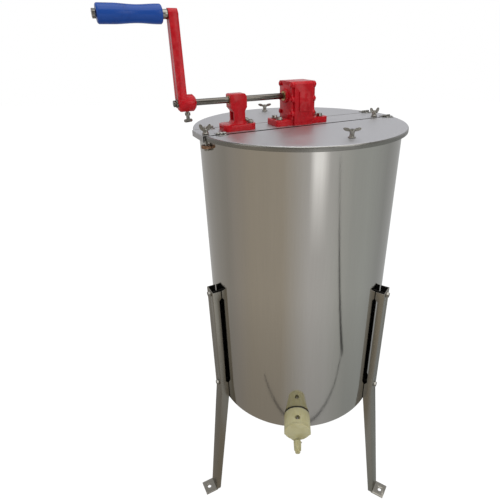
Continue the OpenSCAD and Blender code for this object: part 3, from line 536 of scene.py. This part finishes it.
wall_outline = [(DRUM_FOOT, DRUM_R - WALL)]
wall_outline += [(DRUM_FOOT + rise, DRUM_R) for rise in (0, FOOT_BAND, 0.15, 0.30, 0.45)]
wall_outline += list(bead_stations(12))
wall_outline += [(RIM_TOP - 3 * BEAD_R, DRUM_R - WALL), (DRUM_FOOT + FOOT_BAND, DRUM_R - WALL),
                 (DRUM_FOOT, DRUM_R - WALL)]
drum_wall = turned("drum_wall", wall_outline, sides=256, closed=True)
smooth(drum_wall, 40)
deselect()
bpy.ops.mesh.primitive_cylinder_add(vertices=64, radius=TAIL_HOLE_R, depth=0.06,
                                    location=(0, -DRUM_R, GATE_HEIGHT),
                                    rotation=(math.pi / 2, 0, 0))
hole_cutter = bpy.context.object
apply_modifier(drum_wall, "BOOLEAN", operation="DIFFERENCE", solver="EXACT",
               object=hole_cutter)
bpy.data.objects.remove(hole_cutter)
stand_in(drum_wall, "drum_shell", "stand", drum_steel)

# %% [markdown]
# ## Lids
#
# A lid is a shallow pan: a flat sheet whose rim is rolled over into a short skirt. It
# is turned whole, with its underside, and then bisected along the seam, which is the
# way the real one is cut. The front half's seam edge is pressed down a little, so that
# the bridge stands proud of it.

# %% Lid outline
LID_R = 0.195
LID_SHEET = 0.0016
SKIRT_SHEET = 0.0012
SKIRT = 0.008
SEAM = joints["rear_lid_hinge"]["pos_m"]
SEAM_CLEARANCE = 0.0002
SEAM_OFFSET = math.hypot(SEAM[0], SEAM[1]) + SEAM_CLEARANCE
ROLL_R = 0.0026
BURR = 0.0004
BURR_IN = 0.0003
FLAT_MARGIN = 0.02


def lid_outline():
    yield (-LID_SHEET, LID_R - SKIRT_SHEET)
    yield (-SKIRT + BURR, LID_R - SKIRT_SHEET)
    yield (-SKIRT, LID_R - SKIRT_SHEET + BURR_IN)
    yield (-SKIRT, LID_R - BURR_IN)
    yield (-SKIRT + BURR, LID_R)
    for step in range(9):
        angle = math.pi / 2 * step / 8
        yield (-ROLL_R + ROLL_R * math.sin(angle), LID_R - ROLL_R + ROLL_R * math.cos(angle))
    yield (0, LID_R - FLAT_MARGIN)


print("seam", round(SEAM_OFFSET, 4), "from the middle")

# %% [markdown]
# The seam is cut with a bisect that fills the opening. For the pressed edge a second
# bisect adds a line beside the seam, and the corners on the seam are then moved down,
# so that the strip between the two slopes.

# %% Lid halves
PRESS_WIDTH = 0.010
PRESS_DEPTH = 0.0011
CUT_BEVEL = 0.00015
LEVEL = 0.85


def press_down(piece, side):
    """Sinks the flat part of a lid's seam edge below the bridge."""
    bpy.ops.mesh.select_all(action="SELECT")
    bpy.ops.mesh.bisect(plane_co=(0, side * (SEAM_OFFSET + PRESS_WIDTH), 0),
                        plane_no=(0, side, 0))
    bpy.ops.mesh.select_all(action="DESELECT")
    bpy.ops.object.mode_set(mode="OBJECT")
    for corner in piece.data.vertices:
        at_seam = abs(corner.co.y - side * SEAM_OFFSET) < 0.1 * MM
        on_top = corner.co.z > -0.1 * MM and abs(corner.co.x) < LID_R - 0.75 * FLAT_MARGIN
        corner.select = at_seam and on_top
    bpy.ops.object.mode_set(mode="EDIT")
    bpy.ops.transform.translate(value=(0, 0, -PRESS_DEPTH))


def lid_half(name, side, pressed):
    piece = turned(name, list(lid_outline()), sides=256)
    bpy.ops.object.mode_set(mode="EDIT")
    bpy.ops.mesh.select_mode(type="VERT")
    bpy.ops.mesh.select_all(action="SELECT")
    bpy.ops.mesh.bisect(plane_co=(0, side * SEAM_OFFSET, 0), plane_no=(0, side, 0),
                        use_fill=True, clear_inner=True)
    if pressed:
        press_down(piece, side)
    bpy.ops.object.mode_set(mode="OBJECT")
    apply_modifier(piece, "BEVEL", width=CUT_BEVEL, segments=2, limit_method="ANGLE",
                   angle_limit=math.radians(60))
    settle(piece, BRIDGE)
    smooth(piece, 35)
    return piece


lid_pans = []
for lid_name, side, body in (("front", -1, "front_lid"), ("rear", 1, "rear_lid")):
    pan = lid_half(f"lid_pan_{lid_name}", side, pressed=lid_name == "front")
    stand_in(pan, f"lid_{lid_name}", body, lid_steel)
    # Every face of the pan that isn't nearly level, the roll and the skirt, takes the darker copy: painted shade
    # on the pan's sides.
    pan.data.materials.append(rim_steel)
    for face in pan.data.polygons:
        if abs(face.normal.z) < LEVEL:
            face.material_index = 1
    lid_pans.append(pan)

# %% [markdown]
# ## Sheet, castings and machined parts
#
# These parts already have their true shape, so each gets a copy with its edges
# broken: wide on sand castings, narrow on folded sheet, and only a hair on bolts.

# %% Soft edges
SOFT_EDGES = {
    "gearbox_housing": 1.3, "gearbox_cover": 1.0, "gearbox_end_cover": 1.0,
    "pedestal": 1.3, "crank_arm": 1.6,
    "bridge": 0.5, "clamp_lug": 0.7, "clamp_bracket": 0.4,
    "leg_left": 0.5, "leg_right": 0.5, "leg_rear": 0.5,
    "leg_bolts": 0.5, "leg_nuts": 0.4, "clamp_bolts": 0.4, "cover_screws": 0.5,
    "bridge_bolts": 0.4, "bridge_nuts": 0.4, "grip_spindle": 0.5, "grip_collar": 0.5,
    "shaft_ring": 0.3, "crank_shaft": 0.5, "crank_wing_screw": 0.8,
    "bridge_hinge_leaves": 0.2, "lid_front_leaves": 0.2, "lid_rear_leaves": 0.2,
    "hinge_pins": 0.3, "lid_front_stud": 0.4, "lid_rear_stud": 0.4,
    "gate_body": 0.9, "gate_nut": 0.8, "gate_flap": 0.9, "gate_thumb_nut": 0.5,
    "gate_washer": 0.3, "gate_pivot": 0.4, "gate_stud": 0.4,
}
# The hinge leaves take the darker rim steel, painted shade that keeps their edges from showing bright.
SPECIAL_FINISH = {"clamp_lug": tinted_steel, "bridge_hinge_leaves": rim_steel,
                  "lid_front_leaves": rim_steel, "lid_rear_leaves": rim_steel}
node_body = {node: body for body, nodes in frame["record"]["behaviour"]["bodies"].items()
             for node in nodes}
node_slot = {part["node"]: part["material_slot"] for part in frame["record"]["subparts"]}
soft_pieces = {}
for node, edge in SOFT_EDGES.items():
    piece = soft_copy(node, node + "_soft", edge)
    slot = node_slot[node]
    stand_in(piece, node, node_body[node], SPECIAL_FINISH.get(node, slot_materials[slot]))
    soft_pieces[node] = piece

# %% [markdown]
# Between the bridge and the front lid the two edges look at each other across a
# narrow slit. Those faces take the near-black steel, painted shade for the shadow in the slit.

# %% Painted shade in the seam
ACROSS = Vector((-math.sin(BRIDGE_TURN), math.cos(BRIDGE_TURN), 0))
SEAM_REACH = 0.004
FACING = 0.3
for piece in (soft_pieces["bridge"], lid_pans[0]):
    piece.data.materials.append(scale_steel)
    dark_slot = len(piece.data.materials) - 1
    for face in piece.data.polygons:
        near = abs(face.center.dot(ACROSS) + SEAM_OFFSET) < SEAM_REACH
        if near and abs(face.normal.dot(ACROSS)) > FACING:
            face.material_index = dark_slot
    print(piece.name, sum(f.material_index == dark_slot for f in piece.data.polygons), "dark faces")

# %% [markdown]
# Every face that looks into a leg's channel takes the near-black steel, painted shade
# for the dark inside of the channel. A face looks inwards when it lies inside the
# outer planes and points to the leg's middle.

# %% Painted shade inside the legs
LEG_TURNS = {"leg_left": -150, "leg_right": -30, "leg_rear": 90}
FOOT_SHEET = 0.004
ABOVE_FOOT = 0.01
SIDE_SHEET = 0.001
TURNED_IN = -0.0005
for node, turn in LEG_TURNS.items():
    leg = soft_pieces[node]
    leg.data.materials.append(scale_steel)
    outward = Vector((math.cos(math.radians(turn)), math.sin(math.radians(turn)), 0))
    sideways = Vector((-outward.y, outward.x, 0))
    half = max(abs(corner.co.dot(sideways)) for corner in leg.data.vertices
               if corner.co.z > ABOVE_FOOT)
    dark_count = 0
    for face in leg.data.polygons:
        off = face.center.dot(sideways)
        between_sides = abs(off) < half - SIDE_SHEET
        looks_in = face.normal.dot(sideways) * off < TURNED_IN
        web_inside = face.normal.dot(outward) < -0.5
        if face.center.z > FOOT_SHEET and between_sides and (looks_in or web_inside):
            face.material_index = 1
            dark_count += 1
    print(node, dark_count, "dark faces")

# %% [markdown]
# Inside the channel the leg bolts get painted shade as well: every face nearer to the
# axis than the bolt heads takes the near-black steel.

# %% Painted shade on the bolt shanks
LEG_FACE = 0.2020
leg_bolt_piece = soft_pieces["leg_bolts"]
leg_bolt_piece.data.materials.append(scale_steel)
for face in leg_bolt_piece.data.polygons:
    if math.hypot(face.center.x, face.center.y) < LEG_FACE:
        face.material_index = 1
print(sum(f.material_index for f in leg_bolt_piece.data.polygons), "dark shank faces")

# %% [markdown]
# ## Wing nuts and lid knobs
#
# A cast wing nut is one blob of metal: a boss with two ears that grow out of it. The
# boss is turned, each ear is a flattened, leaning disc, and a fine voxel remesh melts
# the three into one skin, which a smoothing pass rounds where they meet.

# %% Shape of a wing nut
NUT_VOXEL = 0.00035


def wing_nut(name, boss, bore, ear_place, ear_size, lean, thick):
    """Boss is a list of (height, radius) stations, ear_place and ear_size are (out, up)."""
    piece = turned(name, boss, sides=40)
    ears = []
    for side in (-1, 1):
        deselect()
        bpy.ops.mesh.primitive_cylinder_add(vertices=32, radius=1, depth=1,
                                            rotation=(math.pi / 2, 0, 0))
        ear = bpy.context.object
        bpy.ops.object.transform_apply(rotation=True)
        ear.scale = (ear_size[0], thick, ear_size[1])
        ear.rotation_euler = (0, side * math.radians(lean), 0)
        ear.location = (side * ear_place[0], 0, ear_place[1])
        bpy.ops.object.transform_apply(location=True, rotation=True, scale=True)
        ears.append(ear)
    activate(piece)
    for ear in ears:
        ear.select_set(True)
    bpy.ops.object.join()
    apply_modifier(piece, "REMESH", mode="VOXEL", voxel_size=NUT_VOXEL)
    apply_modifier(piece, "SMOOTH", factor=0.5, iterations=4)
    deselect()
    bpy.ops.mesh.primitive_cylinder_add(vertices=32, radius=bore, depth=0.06)
    cutter = bpy.context.object
    apply_modifier(piece, "BOOLEAN", operation="DIFFERENCE", solver="EXACT", object=cutter)
    bpy.data.objects.remove(cutter)
    smooth(piece, 60)
    return piece


def place_on(piece, node, turn):
    """Stands a piece made about Z on the foot of a node's box."""
    low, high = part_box(node)
    middle = (low + high) / 2
    settle(piece, Matrix.Translation((middle.x, middle.y, low.z)) @ Matrix.Rotation(turn, 4, "Z"))


# %% [markdown]
# The clamp nuts stand as a hand left them, each at its own angle, and their ears rise
# steeply.

# %% Clamp nuts
CLAMP_BORE = 0.0026
CLAMP_TURNS = {"left": -24, "right": -10}
CLAMP_EARS = {"ear_place": (0.0062, 0.0104), "ear_size": (0.0030, 0.0056), "lean": 24,
              "thick": 0.0022}
CLAMP_BOSS = [(0.0, 0.0050), (0.0006, 0.0055), (0.0016, 0.0055), (0.0022, 0.0046),
              (0.0076, 0.0040), (0.0082, 0.0034)]
for end, turn in CLAMP_TURNS.items():
    nut = wing_nut(f"wing_nut_{end}", CLAMP_BOSS, CLAMP_BORE, **CLAMP_EARS)
    place_on(nut, f"clamp_nut_{end}", BRIDGE_TURN + math.radians(turn))
    stand_in(nut, f"clamp_nut_{end}", f"{end}_clamp", fastener_steel)

# %% [markdown]
# The lid knobs are the same kind of casting with flatter, wider ears on a waisted boss
# that stands on a small foot.

# %% Lid knobs
KNOB_BORE = 0.00301
KNOB_TURNS = {"front": -28, "rear": -20}
KNOB_EARS = {"ear_place": (0.0082, 0.0126), "ear_size": (0.0060, 0.0026), "lean": -14,
             "thick": 0.0022}
KNOB_BOSS = [(0.0, 0.0062), (0.0014, 0.0062), (0.0018, 0.0040), (0.0070, 0.0036),
             (0.0112, 0.0054), (0.0130, 0.0050)]
for half, turn in KNOB_TURNS.items():
    knob = wing_nut(f"wing_knob_{half}", KNOB_BOSS, KNOB_BORE, **KNOB_EARS)
    place_on(knob, f"lid_{half}_knob", BRIDGE_TURN + math.radians(turn))
    stand_in(knob, f"lid_{half}_knob", f"{half}_lid", fastener_steel)

# %% [markdown]
# ## The grip
#
# The grip is a moulded sleeve with a waist towards the arm and a rounded lip at each
# end. It is turned from a smooth formula and then laid along the crank's axis.

# %% Grip
GRIP_R = 0.013
GRIP_BORE = 0.00406
GRIP_WAIST = 0.0014
WAIST_START = 0.22
WAIST_SPAN = 0.76


def grip_outline(length, radius, bore, waist):
    """(height, radius) stations of the sleeve, from its bore out, along and back."""
    lip = 0.0028
    yield (0.0, bore)
    for step in range(7):
        angle = math.pi / 2 * step / 6
        yield (lip - lip * math.cos(angle), radius - lip + lip * math.sin(angle))
    for step in range(1, 24):
        share = step / 24
        dip = max(0.0, math.sin(math.pi * (share - WAIST_START) / WAIST_SPAN)) ** 2
        yield (lip + (length - 2 * lip) * share, radius - waist * dip)
    for step in range(7):
        angle = math.pi / 2 * step / 6
        yield (length - lip + lip * math.sin(angle), radius - lip + lip * math.cos(angle))
    yield (length, bore)
    yield (0.0, bore)


unturn = Matrix.Rotation(-BRIDGE_TURN, 3, "Z")
grip_points = [unturn @ corner.co for corner in cad_nodes["grip"].data.vertices]
grip_start = min(point.x for point in grip_points)
grip_length = max(point.x for point in grip_points) - grip_start
grip_stations = list(grip_outline(grip_length, GRIP_R, GRIP_BORE, GRIP_WAIST))
grip_sleeve = turned("grip_sleeve", grip_stations, sides=72, closed=True)
settle(grip_sleeve, Matrix.Rotation(BRIDGE_TURN, 4, "Z")
       @ Matrix.Translation((grip_start, 0, GRIP_HEIGHT)) @ Matrix.Rotation(math.pi / 2, 4, "Y"))
smooth(grip_sleeve, 40)
stand_in(grip_sleeve, "grip", "grip", blue_plastic)

# %% [markdown]
# ## Stage and light
#
# Bright metal shows what is around it more than its own colour, so the room that it
# mirrors is set apart from the white floor that the camera sees. The mirrored room is
# a dim brownish one on the left and a greyer one on the right, with a bright doorway
# far off between them. The Light Path node tells the two apart.

# %% The mirrored room
ROOM = [(0.0, (0.33, 0.31, 0.28)), (0.03, (0.37, 0.34, 0.305)), (0.10, (0.42, 0.375, 0.31)),
        (0.20, (0.44, 0.395, 0.33)), (0.25, (0.52, 0.50, 0.47)), (0.285, (0.59, 0.58, 0.57)),
        (0.34, (0.58, 0.58, 0.57)), (0.39, (0.50, 0.51, 0.49)), (0.42, (0.45, 0.465, 0.45)),
        (0.48, (0.45, 0.47, 0.455)), (0.56, (0.36, 0.37, 0.365)), (0.75, (0.50, 0.50, 0.50)),
        (1.0, (0.33, 0.31, 0.28))]
DOORWAY = [(0.0, (0, 0, 0)), (0.278, (0, 0, 0)), (0.294, (1, 1, 1)), (0.314, (1, 1, 1)),
           (0.338, (0, 0, 0)), (1.0, (0, 0, 0))]


def ramp_round(tree, place, colours):
    """A colour ramp that runs once round the machine."""
    parts = put(tree, "ShaderNodeSeparateXYZ", {0: place})
    angle = maths(tree, "ARCTAN2", parts.outputs["Y"], parts.outputs["X"])
    share = spread(tree, angle, -math.pi, math.pi, 0.0, 1.0)
    ramp = put(tree, "ShaderNodeValToRGB", {"Fac": share})
    stops = ramp.color_ramp.elements
    while len(stops) < len(colours):
        stops.new(0.5)
    for stop, (position, colour) in zip(stops, colours):
        stop.position = position
        stop.color = (*colour, 1)
    return ramp.outputs["Color"]


def lit(tree, colour, strength):
    return put(tree, "ShaderNodeEmission", {"Color": colour, "Strength": strength}).outputs[0]


def choose(tree, share, first, second):
    return put(tree, "ShaderNodeMixShader", {0: share, 1: first, 2: second}).outputs[0]


# %% [markdown]
# The floor is one large plane, a hair below the feet. The camera sees it almost white,
# a reflection sees the room's colours on it, a little brighter further off, and all
# other rays meet a plain pale surface that bounces light.

# %% Floor
FLOOR_SIZE = 14
FLOOR_DROP = 0.0002
NEAR_WHITE = 0.88
deselect()
bpy.ops.mesh.primitive_plane_add(size=FLOOR_SIZE, location=(0, 0, -FLOOR_DROP))
floor = bpy.context.object
floor.name = "studio_floor"
floor_material, floor_tree, floor_shader, floor_place = new_material("studio_floor")
floor_tint = put(floor_tree, "ShaderNodeTexNoise", {"Vector": floor_place, "Scale": 3.0})
floor_pale = blend_colours(floor_tree, floor_tint.outputs["Fac"],
                           (0.80, 0.80, 0.80, 1), (0.84, 0.84, 0.84, 1))
floor_tree.links.new(floor_pale, floor_shader.inputs["Base Color"])
floor_shader.inputs["Roughness"].default_value = 0.9
floor_shader.inputs["Specular IOR Level"].default_value = 0.0
floor_ray = put(floor_tree, "ShaderNodeLightPath")
floor_reach = put(floor_tree, "ShaderNodeVectorMath", {0: floor_place}, operation="LENGTH")
doorway_share = spread(floor_tree, floor_reach.outputs["Value"], 1.5, 3.2, 0.0, 0.88)
room_floor = blend_colours(floor_tree,
                           maths(floor_tree, "MULTIPLY", doorway_share,
                                 ramp_round(floor_tree, floor_place, DOORWAY)),
                           ramp_round(floor_tree, floor_place, ROOM), (1.30, 1.30, 1.30, 1))
room_level = spread(floor_tree, floor_reach.outputs["Value"], 0.45, 1.1, 0.74, 1.0)
floor_white = choose(floor_tree, NEAR_WHITE, floor_shader.outputs[0], lit(floor_tree, (1, 1, 1, 1), 1.10))
floor_mix = choose(floor_tree, floor_ray.outputs["Is Camera Ray"], floor_shader.outputs[0],
                   floor_white)
floor_all = choose(floor_tree, floor_ray.outputs["Is Glossy Ray"], floor_mix,
                   lit(floor_tree, room_floor, room_level))
floor_tree.links.new(floor_all, floor_tree.nodes["Material Output"].inputs[0])
floor.data.materials.append(floor_material)
settle(floor)
print("floor", [round(side, 1) for side in floor.dimensions])

# %% [markdown]
# A floor joint and a skirting line run in front of the machine. The camera doesn't
# see them, but the drum mirrors them as the thin dark curves that make sheet steel
# look like a mirror at all.

# %% Mirrored floor joints
JOINTS_ON_FLOOR = [((-0.385, -0.487), (-0.10, -0.462), 0.010),
                   ((-0.10, -0.462), (0.43, -0.387), 0.010),
                   ((0.43, -0.387), (0.61, -0.402), 0.011), ((0.61, -0.402), (2.37, -2.66), 0.042)]
joint_material = new_material("floor_joint")[0]
joint_shader = joint_material.node_tree.nodes["Principled BSDF"]
joint_shader.inputs["Base Color"].default_value = (0.03, 0.03, 0.03, 1)
joint_shader.inputs["Specular IOR Level"].default_value = 0.0
for number, (start, end, width) in enumerate(JOINTS_ON_FLOOR):
    run = Vector(end) - Vector(start)
    middle = (Vector(end) + Vector(start)) / 2
    deselect()
    bpy.ops.mesh.primitive_plane_add(size=1, location=(middle.x, middle.y, 0.0004),
                                     rotation=(0, 0, math.atan2(run.y, run.x)))
    strip = bpy.context.object
    strip.name = f"floor_joint_{number}"
    strip.scale = (run.length + width, width, 1)
    strip.visible_camera = False
    strip.visible_diffuse = False
    strip.visible_shadow = False
    strip.data.materials.append(joint_material)
    settle(strip)
print(len(JOINTS_ON_FLOOR), "floor joints")

# %% [markdown]
# The world is white to the camera and an even soft grey to plain surfaces. Only
# reflections see a room in it: dim in front, brighter behind and grey overhead.

# %% World
world = bpy.data.worlds.new("room")
bpy.context.scene.world = world
world.use_nodes = True
world_tree = world.node_tree
world_tree.nodes.clear()
world_place = world_tree.nodes.new("ShaderNodeTexCoord").outputs["Generated"]
world_parts = put(world_tree, "ShaderNodeSeparateXYZ", {0: world_place})
world_behind = spread(world_tree, world_parts.outputs["Y"], -0.2, 0.5, 0.0, 1.0)
world_wall = blend_colours(world_tree, world_behind, (0.26, 0.25, 0.23, 1), (0.60, 0.60, 0.625, 1))
world_above = spread(world_tree, world_parts.outputs["Z"], 0.55, 0.9, 0.0, 1.0)
world_room = blend_colours(world_tree, world_above, world_wall, (0.45, 0.45, 0.45, 1))
world_ray = put(world_tree, "ShaderNodeLightPath")
world_plain = blend_colours(world_tree, world_ray.outputs["Is Camera Ray"], (0.66, 0.66, 0.67, 1),
                            (1.0, 1.0, 1.0, 1))
world_colour = blend_colours(world_tree, world_ray.outputs["Is Glossy Ray"],
                             world_plain, world_room)
world_back = put(world_tree, "ShaderNodeBackground", {"Color": world_colour, "Strength": 1.0})
world_out = world_tree.nodes.new("ShaderNodeOutputWorld")
world_tree.links.new(world_back.outputs[0], world_out.inputs[0])
print("world", world.name, len(world_tree.nodes), "nodes")


# %% [markdown]
# Three large, soft lamps do the rest: one overhead, one like a window on the right and
# a weak, slightly warm one on the left that opens the shadows.

# %% Lamps
def softbox(name, place, target, size, power, colour=(1, 1, 1)):
    lamp_data = bpy.data.lights.new(name, "AREA")
    lamp_data.shape = "RECTANGLE"
    lamp_data.size, lamp_data.size_y = size
    lamp_data.energy = power
    lamp_data.color = colour
    lamp = bpy.data.objects.new(name, lamp_data)
    lamp.location = place
    lamp.rotation_euler = (Vector(target) - Vector(place)).to_track_quat("-Z", "Y").to_euler()
    bpy.context.scene.collection.objects.link(lamp)


softbox("overhead", (0.3, -0.4, 2.8), (0, 0, 0.5), (2.4, 2.4), 26)
softbox("window", (1.9, -1.7, 1.7), (0, 0, 0.6), (0.8, 1.6), 8)
softbox("fill", (-2.0, -1.5, 1.6), (0, 0, 0.6), (1.4, 1.4), 5, (1.0, 0.97, 0.93))
